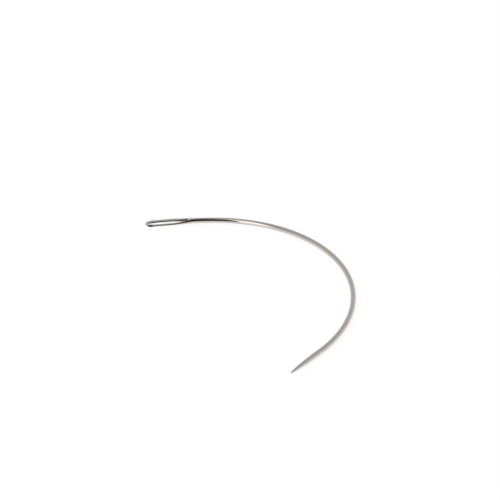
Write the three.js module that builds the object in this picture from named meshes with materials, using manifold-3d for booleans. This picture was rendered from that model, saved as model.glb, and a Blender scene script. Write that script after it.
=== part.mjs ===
// A curved sewing needle: one length of drawn steel wire, nickel plated. One end is stamped flat and pierced
// with a long eye, the other is ground to a round point, and the wire is bent to a C in one plane.
// It is modelled the way it is made: worked straight along +X, then bent. The wire's three named sections
// meet face to face on cuts square to the wire.
// Frame: millimetres, +Z up. The needle lies flat on z = 0, with the straight of its eye along +X from the
// butt, and the origin is under the middle of its box.

import * as THREE from "three";
import { mergeVertices } from "three/addons/utils/BufferGeometryUtils.js";
import Module from "manifold-3d";

// The wire and its bend
const WIRE_DIAMETER = 1.25;
const NEEDLE_LENGTH = 100; // along the wire's axis, from the butt to the tip
const BEND_RADIUS = 33.5; // of the wire's axis
const HEAD_STRAIGHT = 2; // straight wire at the butt
const HEAD_EASING = 18; // the bend tightens over this stretch, from straight to its full radius
const POINT_STRAIGHT = 9; // straight wire behind the tip
const POINT_EASING = 2; // the bend slackens over this stretch, from its full radius to straight

// The stamped head
const HEAD_WIDTH = 2.6;
const HEAD_THICKNESS = 0.4;
const BUTT_ROUNDING = 2.2; // length of the rounded butt
const BUTT_FULLNESS = 2.5; // exponent of the butt's outline: 2 is an ellipse, more is squarer
const SHOULDER_LENGTH = 6; // the head draws in over this stretch, from its full width to the round wire
const THICKENING_LENGTH = 5.5; // the head thickens over this stretch, up to the round wire

// The eye and its thread gutters
const BUTT_WALL = 0.8; // metal between the butt and the eye
const EYE_LENGTH = 9.25;
const EYE_WIDTH = 0.8; // at the eye's widest place
const EYE_BELLY = 2.8; // from the eye's end near the butt to its widest place
const EYE_HEEL_WIDTH = 0.45; // of the round end near the butt
const EYE_TOE_WIDTH = 0.2; // of the round end near the shank
const EYE_OFFSET = 0.15; // from the wire's axis, towards the inside of the bend
const EYE_LAND = 0.08; // thickness in the middle of the eye's wall, which flares out from it to both faces
const FLARE_WIDTH = 0.22; // of each flare, seen from above
const GUTTER_WIDTH = 0.32; // where the gutter leaves the eye
const GUTTER_LENGTH = 1.4; // from the middle of the eye's toe
const GUTTER_MARGIN = 0.65; // from the gutter's end to where the wire is round

// The ground point
const POINT_LENGTH = 9;

// Facets
const WIRE_SIDES = 24;
const HEAD_STEP = 0.5;
const BEND_STEP = 1.75;
const BUTT_RINGS = 8;
const POINT_RINGS = 16;
const ARC_STEPS = 16;
const AXIS_STEP = 0.05;

const POINT_START = NEEDLE_LENGTH - POINT_LENGTH;
const HEEL_RADIUS = EYE_HEEL_WIDTH / 2;
const TOE_RADIUS = EYE_TOE_WIDTH / 2;
const HEEL_CENTRE = BUTT_WALL + HEEL_RADIUS;
const BELLY_CENTRE = BUTT_WALL + EYE_BELLY;
const TOE_CENTRE = BUTT_WALL + EYE_LENGTH - TOE_RADIUS;
const GUTTER_END = TOE_CENTRE + GUTTER_LENGTH;
const HEAD_LENGTH = GUTTER_END + GUTTER_MARGIN;

const wasm = await Module();
wasm.setup();

const nickel = new THREE.MeshStandardMaterial({
  name: "nickel_plate",
  color: new THREE.Color(0.69, 0.67, 0.64),
  roughness: 0.22,
  metalness: 1,
});

// The width of the stamped head at a distance along the wire, before its butt is rounded.
function headWidth(along) {
  const drawnIn = THREE.MathUtils.smoothstep(along, HEAD_LENGTH - SHOULDER_LENGTH, HEAD_LENGTH);
  return THREE.MathUtils.lerp(HEAD_WIDTH, WIRE_DIAMETER, drawnIn);
}

function headThickness(along) {
  const thickened = THREE.MathUtils.smoothstep(along, HEAD_LENGTH - THICKENING_LENGTH, HEAD_LENGTH);
  return THREE.MathUtils.lerp(HEAD_THICKNESS, WIRE_DIAMETER, thickened);
}

// A ring of points square to the straight wire: a strip with half-round edges, or a circle where its width
// and thickness match. Its flats lie on the true outline, at the top, the bottom and both edges.
function stripRing(along, width, thickness) {
  const edgeRadius = thickness / 2;
  const cornerRadius = edgeRadius / Math.cos(Math.PI / WIRE_SIDES);
  const edgeCentre = width / 2 - edgeRadius;
  return Array.from({ length: WIRE_SIDES }, (_, side) => {
    const angle = ((side + 0.5) / WIRE_SIDES) * 2 * Math.PI;
    const across = Math.sign(Math.cos(angle)) * edgeCentre + cornerRadius * Math.cos(angle);
    return new THREE.Vector3(along, across, cornerRadius * Math.sin(angle));
  });
}

function wireRing(along, diameter) {
  return stripRing(along, diameter, diameter);
}

// A closed solid through rings of the same number of points, with a fan of triangles to a point of the axis
// at each end.
function loft(start, rings, end) {
  const sides = rings[0].length;
  const points = [...rings.flat(), start, end];
  const startIndex = points.length - 2;
  const endIndex = points.length - 1;
  const triangles = [];
  rings.forEach((ring, row) => {
    ring.forEach((_, side) => {
      const here = row * sides + side;
      const beside = row * sides + ((side + 1) % sides);
      if (row === 0) triangles.push(startIndex, beside, here);
      if (row === rings.length - 1) triangles.push(endIndex, here, beside);
      else triangles.push(here, beside, here + sides, beside, beside + sides, here + sides);
    });
  });
  return new THREE.BufferGeometry().setFromPoints(points).setIndex(triangles);
}

function onAxis(along) {
  return new THREE.Vector3(along, 0, 0);
}

// Distances from one place to another in equal steps no longer than a given one, both ends included.
function stepsBetween(from, to, longest) {
  const count = Math.ceil((to - from) / longest);
  return Array.from({ length: count + 1 }, (_, i) => from + ((to - from) * i) / count);
}

// Booleans on closed geometries
function solidOf(geometry) {
  const bare = new THREE.BufferGeometry();
  bare.setAttribute("position", geometry.getAttribute("position").clone());
  bare.setIndex(geometry.index);
  const merged = mergeVertices(bare);
  const mesh = new wasm.Mesh({
    numProp: 3,
    vertProperties: new Float32Array(merged.getAttribute("position").array),
    triVerts: new Uint32Array(merged.index.array),
  });
  return new wasm.Manifold(mesh);
}

function cutAway(geometry, cutters) {
  const cut = cutters.reduce((solid, cutter) => solid.subtract(solidOf(cutter)), solidOf(geometry));
  const mesh = cut.getMesh();
  const result = new THREE.BufferGeometry();
  result.setAttribute("position", new THREE.BufferAttribute(mesh.vertProperties, 3));
  result.setIndex(new THREE.BufferAttribute(mesh.triVerts, 1));
  return result;
}

// The arc from the eye's widest place to one of its round ends. Its centre lies a drop beyond the wire's
// axis, and the turn is the angle at which it runs into the end.
function eyeSide(reach, endRadius) {
  const widest = EYE_WIDTH / 2;
  const radius = (reach ** 2 / (widest - endRadius) + widest + endRadius) / 2;
  const drop = radius - widest;
  return { radius, drop, turn: Math.atan2(drop, reach) };
}

// The eye seen from above, grown outwards by some distance: a round heel, bowed sides and a small round
// toe, each tangent to the next. The points go round it anticlockwise.
function eyeOutline(growth) {
  const heelSide = eyeSide(BELLY_CENTRE - HEEL_CENTRE, HEEL_RADIUS);
  const toeSide = eyeSide(TOE_CENTRE - BELLY_CENTRE, TOE_RADIUS);
  const arc = (x, y, radius, from, to) =>
    new THREE.EllipseCurve(x, y, radius + growth, radius + growth, from, to).getPoints(ARC_STEPS).slice(1);
  return [
    ...arc(HEEL_CENTRE, 0, HEEL_RADIUS, Math.PI - heelSide.turn, Math.PI + heelSide.turn),
    ...arc(BELLY_CENTRE, heelSide.drop, heelSide.radius, Math.PI + heelSide.turn, (3 * Math.PI) / 2),
    ...arc(BELLY_CENTRE, toeSide.drop, toeSide.radius, -Math.PI / 2, -toeSide.turn),
    ...arc(TOE_CENTRE, 0, TOE_RADIUS, -toeSide.turn, toeSide.turn),
    ...arc(BELLY_CENTRE, -toeSide.drop, toeSide.radius, toeSide.turn, Math.PI / 2),
    ...arc(BELLY_CENTRE, -heelSide.drop, heelSide.radius, Math.PI / 2, Math.PI - heelSide.turn),
  ];
}

// The punch goes right through the head.
function eyePunch() {
  const punch = new THREE.ExtrudeGeometry(new THREE.Shape(eyeOutline(0)), {
    depth: 2 * WIRE_DIAMETER,
    bevelEnabled: false,
  });
  return punch.translate(0, 0, -WIRE_DIAMETER);
}

// The flare of the eye's wall, from its land in the middle of the metal up to the head's upper face, which
// rises towards the shank.
function flareCutter() {
  const level = (outline, height) => outline.map(({ x, y }) => new THREE.Vector3(x, y, height(x)));
  const rings = [
    level(eyeOutline(0), () => EYE_LAND / 2),
    level(eyeOutline(FLARE_WIDTH), (along) => headThickness(along) / 2),
    level(eyeOutline(FLARE_WIDTH), () => WIRE_DIAMETER),
  ];
  return loft(onAxis(BELLY_CENTRE), rings, new THREE.Vector3(BELLY_CENTRE, 0, WIRE_DIAMETER));
}

// The gutter in the upper face, which leads the thread out of the eye's toe: a cone that runs out of the
// metal at the shank's end.
function gutterCutter() {
  const heel = new THREE.Vector2(TOE_CENTRE, headThickness(TOE_CENTRE) / 2);
  const toe = new THREE.Vector2(GUTTER_END, headThickness(GUTTER_END) / 2);
  const middle = heel.clone().add(toe).divideScalar(2);
  const rise = toe.clone().sub(heel);
  return new THREE.ConeGeometry(GUTTER_WIDTH / 2, rise.length(), ARC_STEPS)
    .rotateZ(-Math.PI / 2)
    .rotateY(-rise.angle())
    .translate(middle.x, 0, middle.y);
}

// The same cutter for the lower face: half a turn about the wire's axis.
function underneath(cutter) {
  return cutter.clone().rotateX(Math.PI);
}

// The head, still straight. The butt is rounded in outline, and its edge is half round like the sides. The
// cutters are made on the wire's axis and moved off it together.
function straightHead() {
  const thickness = headThickness(0);
  const buttRings = Array.from({ length: BUTT_RINGS }, (_, i) => {
    const along = BUTT_ROUNDING * (1 - Math.cos(((i + 1) / BUTT_RINGS) * (Math.PI / 2)));
    const inset = 1 - along / BUTT_ROUNDING;
    const share = (1 - inset ** BUTT_FULLNESS) ** (1 / BUTT_FULLNESS);
    const depth = Math.min(along, thickness / 2);
    const edge = 2 * Math.sqrt(depth * (thickness - depth));
    return stripRing(along, Math.max(HEAD_WIDTH * share, edge), edge);
  });
  const sideRings = stepsBetween(BUTT_ROUNDING, HEAD_LENGTH, HEAD_STEP)
    .slice(1)
    .map((along) => stripRing(along, headWidth(along), headThickness(along)));
  const blank = loft(onAxis(0), [...buttRings, ...sideRings], onAxis(HEAD_LENGTH));
  const flare = flareCutter();
  const gutter = gutterCutter();
  const cutters = [eyePunch(), flare, underneath(flare), gutter, underneath(gutter)];
  return cutAway(
    blank,
    cutters.map((cutter) => cutter.translate(0, -EYE_OFFSET, 0)),
  );
}

function straightShank() {
  const rings = stepsBetween(HEAD_LENGTH, POINT_START, BEND_STEP).map((along) =>
    wireRing(along, WIRE_DIAMETER),
  );
  return loft(onAxis(HEAD_LENGTH), rings, onAxis(POINT_START));
}

// The point is half a long ellipse in outline: it leaves the round wire with no edge and ends in a sharp tip.
function straightPoint() {
  const rings = Array.from({ length: POINT_RINGS }, (_, i) => {
    const angle = (i / POINT_RINGS) * (Math.PI / 2);
    const along = POINT_START + POINT_LENGTH * Math.sin(angle);
    return wireRing(along, WIRE_DIAMETER * Math.cos(angle));
  });
  return loft(onAxis(POINT_START), rings, onAxis(NEEDLE_LENGTH));
}

// Curvature of the bent wire: none at the butt, easing in to the full bend, and easing out behind the tip.
function curvature(along) {
  const easedIn = (along - HEAD_STRAIGHT) / HEAD_EASING;
  const easedOut = (NEEDLE_LENGTH - POINT_STRAIGHT - along) / POINT_EASING;
  return THREE.MathUtils.clamp(Math.min(easedIn, easedOut), 0, 1) / BEND_RADIUS;
}

// The bent axis in the plane of the bend, as places with a heading at short steps from the butt.
function bentAxis() {
  const steps = Math.ceil(NEEDLE_LENGTH / AXIS_STEP);
  const step = NEEDLE_LENGTH / steps;
  const places = [{ x: 0, y: 0, heading: 0 }];
  for (let i = 0; i < steps; i += 1) {
    const { x, y, heading } = places[i];
    const turn = -curvature((i + 0.5) * step) * step;
    const middle = heading + turn / 2;
    places.push({ x: x + step * Math.cos(middle), y: y + step * Math.sin(middle), heading: heading + turn });
  }
  return { step, places };
}

const axis = bentAxis();

function axisPlace(along) {
  const before = Math.min(Math.floor(along / axis.step), axis.places.length - 2);
  const share = along / axis.step - before;
  const [from, to] = axis.places.slice(before, before + 2);
  return {
    x: THREE.MathUtils.lerp(from.x, to.x, share),
    y: THREE.MathUtils.lerp(from.y, to.y, share),
    heading: THREE.MathUtils.lerp(from.heading, to.heading, share),
  };
}

// Bends a straight section: each point keeps its distance from the axis and its height in the wire.
function bend(geometry) {
  const position = geometry.getAttribute("position");
  for (let i = 0; i < position.count; i += 1) {
    const place = axisPlace(position.getX(i));
    const across = position.getY(i);
    position.setXY(i, place.x - across * Math.sin(place.heading), place.y + across * Math.cos(place.heading));
  }
  geometry.computeVertexNormals();
  return geometry;
}

function section(name, straight) {
  const mesh = new THREE.Mesh(bend(straight), nickel);
  mesh.name = name;
  return mesh;
}

const wire = new THREE.Group();
wire.add(section("eye_head", straightHead()));
wire.add(section("shank", straightShank()));
wire.add(section("point", straightPoint()));

const middle = new THREE.Box3().setFromObject(wire).getCenter(new THREE.Vector3());
wire.position.set(-middle.x, -middle.y, WIRE_DIAMETER / 2);

const needle = new THREE.Group();
needle.name = "curved_needle";
needle.add(wire);

export default needle;
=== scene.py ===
"""The looks of a curved sewing needle: one unbroken nickel-plated wire, its floor, its light and its camera.

Sizes are in millimetres until they meet Blender, which works in metres. The needle is shaped straight, along
its own axis, and then bent, as the frame's solids are. Its three sections become one piece with no seams.
"""

import math

import bmesh
import bpy
import numpy as np
from mathutils import Matrix, Vector


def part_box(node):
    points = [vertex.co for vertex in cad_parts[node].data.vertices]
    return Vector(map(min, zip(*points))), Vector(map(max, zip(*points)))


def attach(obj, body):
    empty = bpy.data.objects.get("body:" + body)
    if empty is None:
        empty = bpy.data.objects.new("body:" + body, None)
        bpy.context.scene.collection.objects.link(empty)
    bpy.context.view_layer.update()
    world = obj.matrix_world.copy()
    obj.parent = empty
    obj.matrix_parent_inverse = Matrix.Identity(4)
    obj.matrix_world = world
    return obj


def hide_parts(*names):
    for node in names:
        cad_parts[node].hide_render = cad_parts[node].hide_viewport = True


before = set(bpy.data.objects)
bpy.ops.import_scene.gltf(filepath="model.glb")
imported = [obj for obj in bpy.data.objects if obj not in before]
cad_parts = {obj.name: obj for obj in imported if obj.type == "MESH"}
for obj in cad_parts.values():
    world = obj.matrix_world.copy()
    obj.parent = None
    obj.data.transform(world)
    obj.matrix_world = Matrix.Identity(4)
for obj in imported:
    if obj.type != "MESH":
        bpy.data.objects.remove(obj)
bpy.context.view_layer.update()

MM = 0.001

# The wire and its bend, as in the frame
WIRE_DIAMETER = 1.25
NEEDLE_LENGTH = 100.0  # along the wire's axis, from the butt to the tip
BEND_RADIUS = 33.5
HEAD_STRAIGHT = 2.0  # straight wire at the butt
HEAD_EASING = 18.0  # the bend tightens over this stretch
POINT_STRAIGHT = 9.0  # straight wire behind the tip
POINT_EASING = 2.0  # the bend slackens over this stretch

# The stamped head and its eye, as in the frame
HEAD_WIDTH = 2.6
HEAD_THICKNESS = 0.4
BUTT_ROUNDING = 2.2
BUTT_FULLNESS = 2.5  # exponent of the butt's outline: 2 is an ellipse, more is squarer
HEAD_LENGTH = 12.0  # from the butt to where the wire is round
SHOULDER_START = 6.0  # from the butt to where the head begins to draw in
THICKENING_START = 6.5
BUTT_WALL = 0.8
EYE_LENGTH = 9.25
EYE_HEEL_WIDTH = 0.45
EYE_WIDTH = 0.8
EYE_BELLY = 3.6  # from the butt to where the eye is widest
EYE_TOE_WIDTH = 0.2
EYE_OFFSET = 0.15  # from the wire's axis, towards the inside of the bend
EYE_LAND = 0.08  # the eye's wall flares out to both faces from this thickness
FLARE_WIDTH = 0.22
GUTTER_WIDTH = 0.32
GUTTER_LENGTH = 1.4

# What the solids don't have: a soft edge where the flare meets the face, and a near-black, rougher spot on
# the butt
FLARE_SOFTNESS = 0.05  # half the width of the soft edge
DARK_SPOT_PLACE = (1.0, -1.3)  # along the wire and across it
DARK_SPOT_SIZE = (0.85, 0.6)
DARK_SPOT_CORE = 0.6  # share of its size within which the spot is darkest

# The plating. Waves are so many a millimetre, along the wire and across it.
CLOUD_WAVES = (0.35, 0.9, 0.9)
LINE_WAVES = (0.25, 22.0, 22.0)
SCRATCH_WAVES = (0.6, 9.0, 9.0)
GRINDING_WAVES = (11.0, 0.7, 0.7)
NOISE_RANGE = (0.3, 0.7)  # nearly all of a noise lies between these values
SCRATCH_RANGE = (0.66, 0.7)  # the noise turns into a scratch between these
GRINDING_FADE = 1.0  # half the length over which the grinding marks set in
DARK_TINT = (0.585, 0.54, 0.495, 1.0)
LIGHT_TINT = (0.645, 0.6, 0.555, 1.0)
# the near-black colour of the spot on the butt
DARK_SPOT_TINT = (0.03, 0.027, 0.025, 1.0)
DRAWN_ROUGHNESS = (0.03, 0.07)
GROUND_ROUGHNESS = (0.04, 0.11)
SCRATCH_ROUGHNESS = 0.16
DARK_SPOT_ROUGHNESS = 0.5
MARK_DEPTH = 0.004
MARK_STRENGTH = 0.25
SCRATCH_DEPTH = 0.003
SCRATCH_STRENGTH = 0.3

# The ground point
POINT_LENGTH = 9.0

# Mesh steps
WIRE_SIDES = 96
WIRE_STEP = 0.5
POINT_RINGS = 36
LAST_RING = math.radians(83)  # of the point's quarter ellipse, beyond which a small cone makes the tip
TOE_COLUMNS = 14
TOE_SIDE_COLUMNS = 22
HEEL_SIDE_COLUMNS = 12
HEEL_COLUMNS = 20
FLARE_ROWS = 3
SOFT_ROWS = 5
EDGE_ROWS = 8
FLAT_ROWS = 24
ROW_CLEARANCE = 0.02  # least share of a line between the flare's rows and the rounded edge's
AXIS_STEP = 0.02
OUTLINE_POINTS = 4000
WELD_DISTANCE = 1e-4
NEARLY_NOTHING = 1e-6  # in place of a width of zero that something is divided by
SHARP_ANGLE = math.radians(35)  # edges that fold by more than this aren't smoothed

POINT_START = NEEDLE_LENGTH - POINT_LENGTH
WIRE_RADIUS = WIRE_DIAMETER / 2
HEEL_RADIUS = EYE_HEEL_WIDTH / 2
TOE_RADIUS = EYE_TOE_WIDTH / 2
BELLY_HALF = EYE_WIDTH / 2
HEEL_CENTRE = BUTT_WALL + HEEL_RADIUS
TOE_CENTRE = BUTT_WALL + EYE_LENGTH - TOE_RADIUS

# The camera, fitted to the photographed outline. Angles are in degrees, and azimuth 0 looks along +Y.
CAMERA_AZIMUTH = -3.41
CAMERA_ELEVATION = 32.78
CAMERA_ROLL = -3.01
CAMERA_DISTANCE = 641.4
CAMERA_AIM = (0.634, 16.856, WIRE_RADIUS)
SENSOR_WIDTH = 36.0
FOCAL_LENGTH = 201.6
NEAREST_SEEN = 10.0
FARTHEST_SEEN = 10000.0

# The light. Brightness is radiance, where 1 shows as white.
FLOOR_RADIUS = 3000.0
FLOOR_SIDES = 96
FLOOR_COLOUR = (0.5, 0.5, 0.5, 1.0)
FLOOR_GLOW = 0.77
WALL_BRIGHTNESS = 0.8
CEILING_BRIGHTNESS = 0.46
WINDOW_BRIGHTNESS = 1.05  # over the wall's

# The soft edges of the room's dark part and of its window. Each pair goes from outside to inside. Sideways
# is measured to the camera's left, as a part of the distance, and height in degrees from the floor before
# the needle.
DARK_LEFT = (0.52, 0.47)
DARK_RIGHT = (-0.7, -0.5)
DARK_TOP = (97, 85)
WINDOW_RIGHT = (0.47, 0.52)
WINDOW_LEFT = (0.87, 0.78)
WINDOW_TOP = (100, 50)
EDGE_LEAN = 0.2  # how fast the window's upright edges lean to the right as they rise


def smoothstep(value, low, high):
    share = np.clip((value - low) / (high - low), 0, 1)
    return share * share * (3 - 2 * share)


def quarter_round(share):
    """Height of a quarter circle, from 0 at its foot to 1 where it meets the flat."""
    return np.sqrt(1 - (1 - np.clip(share, 0, 1)) ** 2)


def head_width(along):
    """Width of the stamped head, before its butt is rounded."""
    drawn_in = smoothstep(along, SHOULDER_START, HEAD_LENGTH)
    return HEAD_WIDTH + (WIRE_DIAMETER - HEAD_WIDTH) * drawn_in


def head_thickness(along):
    thickened = smoothstep(along, THICKENING_START, HEAD_LENGTH)
    return HEAD_THICKNESS + (WIRE_DIAMETER - HEAD_THICKNESS) * thickened


def edge_across(along):
    """Distance from the middle line to the head's outer edge."""
    inset = np.clip(1 - along / BUTT_ROUNDING, 0, 1)
    return head_width(along) / 2 * (1 - inset**BUTT_FULLNESS) ** (1 / BUTT_FULLNESS)


def butt_outline():
    """One side of the head's outline from the butt's end to the start of the shoulder."""
    turn = np.linspace(0, math.pi / 2, OUTLINE_POINTS)
    along = SHOULDER_START * (1 - np.cos(turn))
    return np.column_stack([along, edge_across(along)])


BUTT_OUTLINE = butt_outline()


def edge_distance(along, across):
    """Distance from a place on the head to its outer edge."""
    across = np.abs(across)
    distance = head_width(along) / 2 - across
    for place in np.argwhere(along < SHOULDER_START).ravel():
        gaps = BUTT_OUTLINE - (along[place], across[place])
        distance[place] = np.hypot(gaps[:, 0], gaps[:, 1]).min()
    return distance


def eye_side(reach, end_radius):
    """The arc from the eye's widest place to one of its round ends: radius, drop and turn.

    Its centre lies a drop beyond the middle line, and the turn is the angle at which the arc meets the end.
    """
    radius = (reach**2 / (BELLY_HALF - end_radius) + BELLY_HALF + end_radius) / 2
    drop = radius - BELLY_HALF
    return radius, drop, math.atan2(drop, reach)


def eye_distance(along, across):
    """Distance from a place on the head to the eye, which is widest at its belly and round at both ends."""
    run = np.abs(along - EYE_BELLY)
    across = np.abs(across + EYE_OFFSET)
    towards = []
    for reach, end_radius in ((EYE_BELLY - HEEL_CENTRE, HEEL_RADIUS), (TOE_CENTRE - EYE_BELLY, TOE_RADIUS)):
        radius, drop, turn = eye_side(reach, end_radius)
        from_side = np.hypot(run, across + drop) - radius
        from_end = np.hypot(run - reach, across) - end_radius
        towards.append(np.where(np.arctan2(across + drop, run) < turn, from_end, from_side))
    return np.where(along < EYE_BELLY, *towards)


def flare(along, across):
    """How far the eye's wall has risen from its land to the face, which it meets softly."""
    distance = eye_distance(along, across)
    past = np.clip(distance - FLARE_WIDTH, -FLARE_SOFTNESS, FLARE_SOFTNESS)
    softened = FLARE_WIDTH - (past - FLARE_SOFTNESS) ** 2 / (4 * FLARE_SOFTNESS)
    return np.where(past > -FLARE_SOFTNESS, softened, distance) / FLARE_WIDTH


def gutter_depth(along, across):
    """How far the soft-edged thread gutter lowers the face, from the eye's toe to where it runs out."""
    narrowing = np.clip(1 - (along - TOE_CENTRE) / GUTTER_LENGTH, NEARLY_NOTHING, 1)
    reach = GUTTER_WIDTH / 2 * narrowing
    trough = np.clip(1 - ((across + EYE_OFFSET) / reach) ** 2, 0, 1) ** 2
    return np.where(along > TOE_CENTRE, reach * trough, 0)


def head_height(along, across):
    """Half the thickness of the finished head: half-round edges, a flared eye and its gutter."""
    half = head_thickness(along) / 2
    face = half * quarter_round(edge_distance(along, across) / half) - gutter_depth(along, across)
    return EYE_LAND / 2 + (face - EYE_LAND / 2) * flare(along, across)


def arc(along, across, radius, turns):
    """Points of an arc round a centre on the head."""
    return np.column_stack([along + radius * np.cos(turns), across + radius * np.sin(turns)])


def side_columns(eye_across):
    """Lines across the metal on one side of the eye, each from the eye's rim to the outer edge or the shank.

    They go round the eye from the middle of its toe to the middle of its heel. The eye's middle line lies
    eye_across from the wire's axis, towards that side.
    """
    sides = WIRE_SIDES // 4
    toe_radius, toe_drop, toe_turn = eye_side(TOE_CENTRE - EYE_BELLY, TOE_RADIUS)
    heel_radius, heel_drop, heel_turn = eye_side(EYE_BELLY - HEEL_CENTRE, HEEL_RADIUS)
    toe_rim = arc(TOE_CENTRE, 0, TOE_RADIUS, np.linspace(0, toe_turn, sides + TOE_COLUMNS + 1))
    toe_side_turns = np.linspace(toe_turn, math.pi / 2, TOE_SIDE_COLUMNS + 1)
    toe_side = arc(EYE_BELLY, -toe_drop, toe_radius, toe_side_turns)
    heel_side_turns = np.linspace(math.pi / 2, math.pi - heel_turn, HEEL_SIDE_COLUMNS + 1)
    heel_side = arc(EYE_BELLY, -heel_drop, heel_radius, heel_side_turns)
    heel_turns = np.linspace(math.pi - heel_turn, math.pi, HEEL_COLUMNS + 1)
    heel_rim = arc(HEEL_CENTRE, 0, HEEL_RADIUS, heel_turns)

    ring_turns = np.linspace(math.pi / 2, 0, sides + 1)
    shank_end = np.column_stack([np.full(sides + 1, HEAD_LENGTH), WIRE_RADIUS * np.cos(ring_turns)])
    beside_toe = np.linspace(HEAD_LENGTH, toe_rim[-1, 0], TOE_COLUMNS + 1)[1:]
    side_along = np.concatenate([beside_toe, toe_side[1:, 0], heel_side[1:, 0]])
    side_edge = np.column_stack([side_along, edge_across(side_along)])
    outline_turns = np.arctan2(BUTT_OUTLINE[:, 1], BUTT_OUTLINE[:, 0] - HEEL_CENTRE)[::-1]
    butt_edge = np.column_stack(
        [np.interp(heel_turns[1:], outline_turns, BUTT_OUTLINE[::-1, axis]) for axis in range(2)]
    )
    inner = np.concatenate([toe_rim, toe_side[1:], heel_side[1:], heel_rim[1:]]) + (0, eye_across)
    outer = np.concatenate([shank_end, side_edge, butt_edge])
    return inner, outer


def row_shares(inner, outer):
    """Places along each line: close together where the flare ends and at the rounded edge, even between."""
    length = np.hypot(*(outer - inner).T)
    slope = np.linspace(0, FLARE_WIDTH - FLARE_SOFTNESS, FLARE_ROWS)
    soft = np.linspace(FLARE_WIDTH - FLARE_SOFTNESS, FLARE_WIDTH + FLARE_SOFTNESS, SOFT_ROWS + 1)
    rim_rows = np.concatenate([slope[:-1], soft])
    edge_rows = 1 - np.cos(np.linspace(math.pi / 2, 0, EDGE_ROWS + 1))
    edge_radius = head_thickness(outer[:, 0]) / 2
    rim = np.outer(1 / length, rim_rows)
    edge_share = np.minimum(edge_radius / length, 1 - ROW_CLEARANCE - rim[:, -1])
    edge = 1 - np.outer(edge_share, edge_rows)
    between = np.linspace(rim[:, -1], edge[:, 0], FLAT_ROWS + 1, axis=1)[:, 1:-1]
    return np.concatenate([rim, between, edge], axis=1)


def head_grids():
    """The head as grids of straight points round the eye: upper sheet, lower sheet and the eye's wall."""
    halves = []
    for side in (1, -1):
        inner, outer = side_columns(-side * EYE_OFFSET)
        shares = row_shares(inner, outer)
        half = inner[:, None] + (outer - inner)[:, None] * shares[:, :, None]
        halves.append(half * (1, side))
    outside, inside = halves
    plan = np.concatenate([outside, inside[-2:0:-1], outside[:1]])
    height = head_height(plan[..., 0].ravel(), plan[..., 1].ravel()).reshape(plan.shape[:2])
    on_edge = plan[:, -1, 0] < HEAD_LENGTH  # lines that end on the outer edge, where the two sheets meet
    height[on_edge, -1] = 0
    upper, lower = [np.dstack([plan, sign * height]) for sign in (1, -1)]
    wall = np.stack([upper[:, 0], lower[:, 0]], axis=1)
    return upper, lower, wall


def wire_rings():
    """The shank and the point as rings of straight points, from the head's end nearly to the tip."""
    shank_count = math.ceil((POINT_START - HEAD_LENGTH) / WIRE_STEP)
    shank = np.linspace(HEAD_LENGTH, POINT_START, shank_count + 1)
    taper = np.linspace(0, LAST_RING, POINT_RINGS + 1)[1:]
    along = np.concatenate([shank, POINT_START + POINT_LENGTH * np.sin(taper)])
    radius = np.concatenate([np.full_like(shank, WIRE_RADIUS), WIRE_RADIUS * np.cos(taper)])
    turns = np.linspace(0, 2 * math.pi, WIRE_SIDES + 1)
    return np.dstack(
        [
            np.repeat(along[:, None], WIRE_SIDES + 1, axis=1),
            np.outer(radius, np.cos(turns)),
            np.outer(radius, np.sin(turns)),
        ]
    )


def curvature(along):
    eased_in = (along - HEAD_STRAIGHT) / HEAD_EASING
    eased_out = (NEEDLE_LENGTH - POINT_STRAIGHT - along) / POINT_EASING
    return np.clip(np.minimum(eased_in, eased_out), 0, 1) / BEND_RADIUS


def bent(points):
    """Straight points on the bent needle, in metres, where the frame has it."""
    steps = round(NEEDLE_LENGTH / AXIS_STEP)
    places = np.linspace(0, NEEDLE_LENGTH, steps + 1)
    turns = -curvature((places[1:] + places[:-1]) / 2) * AXIS_STEP
    heading = np.concatenate([[0], np.cumsum(turns)])
    middle = heading[:-1] + turns / 2
    axis_x = np.concatenate([[0], np.cumsum(AXIS_STEP * np.cos(middle))])
    axis_y = np.concatenate([[0], np.cumsum(AXIS_STEP * np.sin(middle))])
    along, across, height = points.T
    angle = np.interp(along, places, heading)
    low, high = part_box("eye_head")
    butt_x = low.x / MM
    butt_y = high.y / MM - HEAD_WIDTH / 2
    return MM * np.column_stack(
        [
            butt_x + np.interp(along, places, axis_x) - across * np.sin(angle),
            butt_y + np.interp(along, places, axis_y) + across * np.cos(angle),
            WIRE_RADIUS + height,
        ]
    )


def add_grid(mesh, grid):
    """Adds a grid of straight points to a bmesh as quads."""
    rows = [[mesh.verts.new(point) for point in row] for row in grid]
    for row, below in zip(rows, rows[1:]):
        for here in range(len(row) - 1):
            mesh.faces.new((row[here], row[here + 1], below[here + 1], below[here]))
    return rows


def straight_needle():
    """The whole needle as one closed bmesh, still straight."""
    mesh = bmesh.new()
    for grid in head_grids():
        add_grid(mesh, grid)
    last_ring = add_grid(mesh, wire_rings())[-1]
    tip = mesh.verts.new((NEEDLE_LENGTH, 0, 0))
    for here, beside in zip(last_ring, last_ring[1:]):
        mesh.faces.new((here, beside, tip))
    bmesh.ops.remove_doubles(mesh, verts=mesh.verts, dist=WELD_DISTANCE)
    bmesh.ops.recalc_face_normals(mesh, faces=mesh.faces)
    return mesh


def dark_spot_share(points):
    """How far each point lies within the near-black spot on the butt, from 0 to 1."""
    reach = np.hypot(*((points[:, :2] - DARK_SPOT_PLACE) / DARK_SPOT_SIZE).T)
    return smoothstep(reach, 1.0, DARK_SPOT_CORE)


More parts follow.
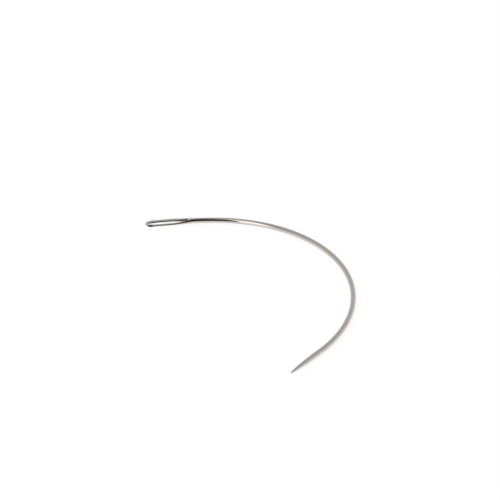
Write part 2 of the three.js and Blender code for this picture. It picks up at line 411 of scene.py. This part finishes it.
def make_needle():
    """The needle object. It keeps each vertex's straight place, which its material is laid out on."""
    shape = straight_needle()
    mesh = bpy.data.meshes.new("needle")
    shape.to_mesh(mesh)
    shape.free()
    straight = np.empty(len(mesh.vertices) * 3)
    mesh.vertices.foreach_get("co", straight)
    layout = mesh.attributes.new("straight", "FLOAT_VECTOR", "POINT")
    layout.data.foreach_set("vector", straight)
    points = straight.reshape(-1, 3)
    dark_spot = mesh.attributes.new("dark_spot", "FLOAT", "POINT")
    dark_spot.data.foreach_set("value", dark_spot_share(points))
    mesh.vertices.foreach_set("co", bent(points).ravel())
    mesh.shade_smooth()
    mesh.set_sharp_from_angle(angle=SHARP_ANGLE)
    mesh.update()
    needle = bpy.data.objects.new("needle", mesh)
    bpy.context.scene.collection.objects.link(needle)
    return needle


def nickel_plate():
    """Bright nickel on drawn wire.

    It has a cloudy polish, fine lines along the wire, scratches, grinding marks on the point and a near-black
    rough spot.
    """
    material = bpy.data.materials.new("nickel_plate")
    material.use_nodes = True
    tree = material.node_tree
    shader = tree.nodes["Principled BSDF"]
    shader.inputs["Metallic"].default_value = 1.0

    layout = tree.nodes.new("ShaderNodeAttribute")
    layout.attribute_name = "straight"

    def noise(waves, detail):
        """Noise over the straight needle, with so many waves a millimetre along it and across it."""
        mapping = tree.nodes.new("ShaderNodeMapping")
        mapping.inputs["Scale"].default_value = waves
        texture = tree.nodes.new("ShaderNodeTexNoise")
        texture.inputs["Scale"].default_value = 1.0
        texture.inputs["Detail"].default_value = detail
        tree.links.new(layout.outputs["Vector"], mapping.inputs["Vector"])
        tree.links.new(mapping.outputs["Vector"], texture.inputs["Vector"])
        return texture.outputs["Fac"]

    def spread(value, before, after):
        """A stretch of values, spread over another one."""
        node = tree.nodes.new("ShaderNodeMapRange")
        node.inputs["From Min"].default_value, node.inputs["From Max"].default_value = before
        node.inputs["To Min"].default_value, node.inputs["To Max"].default_value = after
        tree.links.new(value, node.inputs["Value"])
        return node.outputs["Result"]

    def mixed(kind, share, first, second):
        """A mix of two inputs of the same kind. An input is another node's output or a plain value."""
        node = tree.nodes.new("ShaderNodeMix")
        node.data_type = kind
        tree.links.new(share, node.inputs["Factor"])
        sockets = [socket for socket in node.inputs if socket.enabled and socket.name in "AB"]
        for socket, value in zip(sockets, (first, second)):
            if isinstance(value, bpy.types.NodeSocket):
                tree.links.new(value, socket)
            else:
                socket.default_value = value
        return next(socket for socket in node.outputs if socket.enabled)

    def bumped(height, depth, strength, under):
        """The surface with a height added, so many millimetres deep."""
        node = tree.nodes.new("ShaderNodeBump")
        node.inputs["Strength"].default_value = strength
        node.inputs["Distance"].default_value = depth * MM
        tree.links.new(height, node.inputs["Height"])
        if under:
            tree.links.new(under, node.inputs["Normal"])
        return node.outputs["Normal"]

    clouds = noise(CLOUD_WAVES, detail=3)
    lines = noise(LINE_WAVES, detail=4)
    scratches = spread(noise(SCRATCH_WAVES, detail=2), SCRATCH_RANGE, (0.0, 1.0))
    grinding = noise(GRINDING_WAVES, detail=3)
    parts = tree.nodes.new("ShaderNodeSeparateXYZ")
    tree.links.new(layout.outputs["Vector"], parts.inputs["Vector"])
    fade = (POINT_START - GRINDING_FADE, POINT_START + GRINDING_FADE)
    ground = spread(parts.outputs["X"], fade, (0.0, 1.0))
    dark_spot = tree.nodes.new("ShaderNodeAttribute")
    dark_spot.attribute_name = "dark_spot"

    tint = mixed("RGBA", clouds, DARK_TINT, LIGHT_TINT)
    # The spot on the butt turns the tint near-black, and further down it makes the finish rougher.
    spotted_tint = mixed("RGBA", dark_spot.outputs["Fac"], tint, DARK_SPOT_TINT)
    tree.links.new(spotted_tint, shader.inputs["Base Color"])

    drawn = spread(lines, NOISE_RANGE, DRAWN_ROUGHNESS)
    scratched = mixed("FLOAT", scratches, drawn, SCRATCH_ROUGHNESS)
    finish = mixed("FLOAT", ground, scratched, spread(grinding, NOISE_RANGE, GROUND_ROUGHNESS))
    spotted_finish = mixed("FLOAT", dark_spot.outputs["Fac"], finish, DARK_SPOT_ROUGHNESS)
    tree.links.new(spotted_finish, shader.inputs["Roughness"])

    marks = mixed("FLOAT", ground, lines, grinding)
    marked = bumped(marks, MARK_DEPTH, MARK_STRENGTH, None)
    surface = bumped(scratches, -SCRATCH_DEPTH, SCRATCH_STRENGTH, marked)
    tree.links.new(surface, shader.inputs["Normal"])
    return material


def floor_white():
    """A matt white that glows by itself, so that the needle casts next to no shadow on it."""
    material = bpy.data.materials.new("floor_white")
    material.use_nodes = True
    shader = material.node_tree.nodes["Principled BSDF"]
    shader.inputs["Base Color"].default_value = FLOOR_COLOUR
    shader.inputs["Roughness"].default_value = 1.0
    shader.inputs["Specular IOR Level"].default_value = 0.0
    shader.inputs["Emission Color"].default_value = (1.0, 1.0, 1.0, 1.0)
    shader.inputs["Emission Strength"].default_value = FLOOR_GLOW
    return material


def make_floor():
    mesh = bpy.data.meshes.new("floor")
    shape = bmesh.new()
    bmesh.ops.create_circle(shape, cap_ends=True, segments=FLOOR_SIDES, radius=FLOOR_RADIUS * MM)
    shape.to_mesh(mesh)
    shape.free()
    mesh.materials.append(floor_white())
    floor = bpy.data.objects.new("floor", mesh)
    bpy.context.scene.collection.objects.link(floor)


def make_world():
    """A pale grey room that the needle mirrors, with a dark part and a bright window.

    It is dark where the camera stands, and the window is to the left of that. The window's upright edges,
    and the dark part's edge beside it, lean over to the right as they rise.
    """
    world = bpy.data.worlds.new("room")
    bpy.context.scene.world = world
    world.use_nodes = True
    tree = world.node_tree

    def maths(operation, first, second):
        node = tree.nodes.new("ShaderNodeMath")
        node.operation = operation
        for socket, value in zip(node.inputs, (first, second)):
            if isinstance(value, bpy.types.NodeSocket):
                tree.links.new(value, socket)
            else:
                socket.default_value = value
        return node.outputs["Value"]

    def within(value, edge):
        """0 outside a soft edge, 1 inside it."""
        outside, inside = edge
        node = tree.nodes.new("ShaderNodeMapRange")
        node.interpolation_type = "SMOOTHSTEP"
        node.inputs["From Min"].default_value = min(edge)
        node.inputs["From Max"].default_value = max(edge)
        node.inputs["To Min"].default_value = float(outside > inside)
        node.inputs["To Max"].default_value = float(inside > outside)
        tree.links.new(value, node.inputs["Value"])
        return node.outputs["Result"]

    layout = tree.nodes.new("ShaderNodeTexCoord")
    turned = tree.nodes.new("ShaderNodeVectorRotate")
    turned.rotation_type = "Z_AXIS"
    turned.inputs["Angle"].default_value = -math.radians(CAMERA_AZIMUTH)
    parts = tree.nodes.new("ShaderNodeSeparateXYZ")
    tree.links.new(layout.outputs["Generated"], turned.inputs["Vector"])
    tree.links.new(turned.outputs["Vector"], parts.inputs["Vector"])
    left = maths("MULTIPLY", parts.outputs["X"], -1.0)
    front = maths("MULTIPLY", parts.outputs["Y"], -1.0)
    climb = maths("ARCTAN2", parts.outputs["Z"], front)
    leaning = maths("ADD", left, maths("MULTIPLY", maths("MULTIPLY", climb, climb), EDGE_LEAN))

    dark = maths("MULTIPLY", within(leaning, DARK_LEFT), within(left, DARK_RIGHT))
    dark = maths("MULTIPLY", dark, within(climb, np.radians(DARK_TOP)))
    window = maths("MULTIPLY", within(leaning, WINDOW_RIGHT), within(leaning, WINDOW_LEFT))
    window = maths("MULTIPLY", window, within(climb, np.radians(WINDOW_TOP)))
    dimming = maths("MULTIPLY", parts.outputs["Z"], WALL_BRIGHTNESS - CEILING_BRIGHTNESS)
    room = maths("SUBTRACT", WALL_BRIGHTNESS, dimming)
    grey = maths("MULTIPLY", maths("SUBTRACT", 1.0, dark), room)
    glow = maths("MULTIPLY", window, WINDOW_BRIGHTNESS)
    background = tree.nodes["Background"]
    tree.links.new(maths("ADD", grey, glow), background.inputs["Color"])


def direction(azimuth, elevation):
    """The way from the needle towards a place round it."""
    around = math.radians(azimuth)
    up = math.radians(elevation)
    return Vector((math.sin(around) * math.cos(up), -math.cos(around) * math.cos(up), math.sin(up)))


def make_camera():
    back = direction(CAMERA_AZIMUTH, CAMERA_ELEVATION)
    data = bpy.data.cameras.new("camera")
    data.sensor_width = SENSOR_WIDTH
    data.lens = FOCAL_LENGTH
    data.clip_start = NEAREST_SEEN * MM
    data.clip_end = FARTHEST_SEEN * MM
    camera = bpy.data.objects.new("camera", data)
    bpy.context.scene.collection.objects.link(camera)
    level = back.to_track_quat("Z", "Y").to_matrix().to_4x4()
    roll = Matrix.Rotation(math.radians(CAMERA_ROLL), 4, "Z")
    place = Vector(CAMERA_AIM) * MM + back * CAMERA_DISTANCE * MM
    camera.matrix_world = Matrix.Translation(place) @ level @ roll
    bpy.context.scene.camera = camera


needle = make_needle()
needle.data.materials.append(nickel_plate())
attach(needle, "root")
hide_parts("eye_head", "shank", "point")

make_floor()
make_world()
make_camera()
bpy.context.scene.view_settings.view_transform = "Standard"
